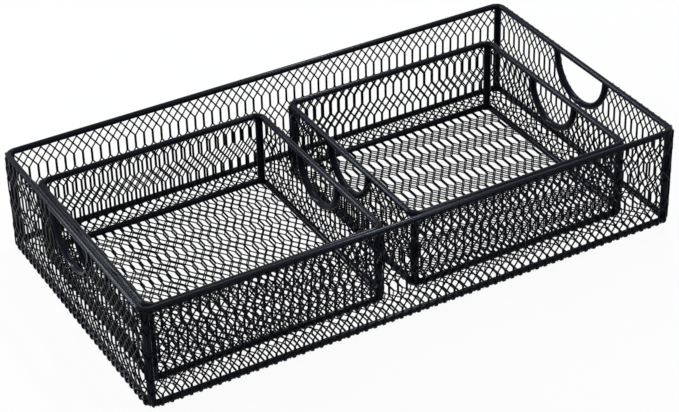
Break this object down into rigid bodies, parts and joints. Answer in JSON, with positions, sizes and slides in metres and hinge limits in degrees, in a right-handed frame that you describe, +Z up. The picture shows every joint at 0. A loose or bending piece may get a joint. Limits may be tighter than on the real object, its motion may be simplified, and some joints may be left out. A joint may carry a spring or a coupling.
{
  "type": "desk organizer",
  "caption": "Low rectangular desk organizer tray of black coated wire mesh that holds square lift-out trays side by side, each with round finger loops at its ends.",
  "frame": {"origin": "centre of the large tray's underside, on the surface it stands on", "axes": "+X along the length towards the right tray, +Y to the back, +Z up"},
  "size_m": [0.4576, 0.2496, 0.0862],
  "materials": {
    "coated_rod": "satin black powder coat",
    "coated_mesh": "satin black powder coat"
  },
  "bodies": {
    "large_tray": {"large_rim": "coated_rod", "large_base_frame": "coated_rod", "large_wall_mesh": "coated_mesh", "large_floor_mesh": "coated_mesh", "large_post_front_left": "coated_rod", "large_post_front_right": "coated_rod", "large_post_back_left": "coated_rod", "large_post_back_right": "coated_rod", "large_loop_left": "coated_rod", "large_loop_right": "coated_rod"},
    "left_tray": {"left_rim": "coated_rod", "left_base_frame": "coated_rod", "left_wall_mesh": "coated_mesh", "left_floor_mesh": "coated_mesh", "left_post_front_left": "coated_rod", "left_post_front_right": "coated_rod", "left_post_back_left": "coated_rod", "left_post_back_right": "coated_rod", "left_loop_left": "coated_rod", "left_loop_right": "coated_rod"},
    "right_tray": {"right_rim": "coated_rod", "right_base_frame": "coated_rod", "right_wall_mesh": "coated_mesh", "right_floor_mesh": "coated_mesh", "right_post_front_left": "coated_rod", "right_post_front_right": "coated_rod", "right_post_back_left": "coated_rod", "right_post_back_right": "coated_rod", "right_loop_left": "coated_rod", "right_loop_right": "coated_rod"}
  },
  "joints": [
    {"name": "left_tray_lift", "type": "slide", "parent": "large_tray", "child": "left_tray", "axis": [0, 0, 1], "range_m": [0, 0.12]},
    {"name": "right_tray_lift", "type": "slide", "parent": "large_tray", "child": "right_tray", "axis": [0, 0, 1], "range_m": [0, 0.12]}
  ]
}
